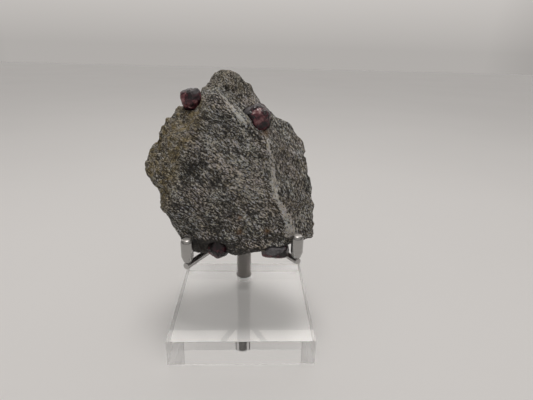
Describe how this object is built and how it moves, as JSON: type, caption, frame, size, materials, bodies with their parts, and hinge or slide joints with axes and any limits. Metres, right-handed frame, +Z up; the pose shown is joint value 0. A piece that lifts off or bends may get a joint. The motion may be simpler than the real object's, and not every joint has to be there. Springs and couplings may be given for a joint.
{
  "type": "garnet in matrix",
  "caption": "Rough block of grey mica schist with embedded dark red garnet crystals, held upright by a metal post and front fingers on a clear block.",
  "frame": {"origin": "centre of the clear base's underside", "axes": "+Z up, longest extent; the specimen's front faces -Y; +X to the viewer's right"},
  "size_m": [0.0585, 0.05, 0.0928],
  "materials": {
    "schist": "rough, speckled grey with olive-brown weathering",
    "garnet": "dark red, glassy crystal faces",
    "acrylic": "clear, polished",
    "steel": "satin"
  },
  "bodies": {
    "root": {"matrix": "schist", "garnet_upper_left": "garnet", "garnet_upper_right": "garnet", "garnet_lower_left": "garnet", "garnet_lower_right": "garnet", "base": "acrylic", "post": "steel", "arm_left": "steel", "arm_right": "steel", "finger_left": "steel", "finger_right": "steel"}
  },
  "joints": []
}
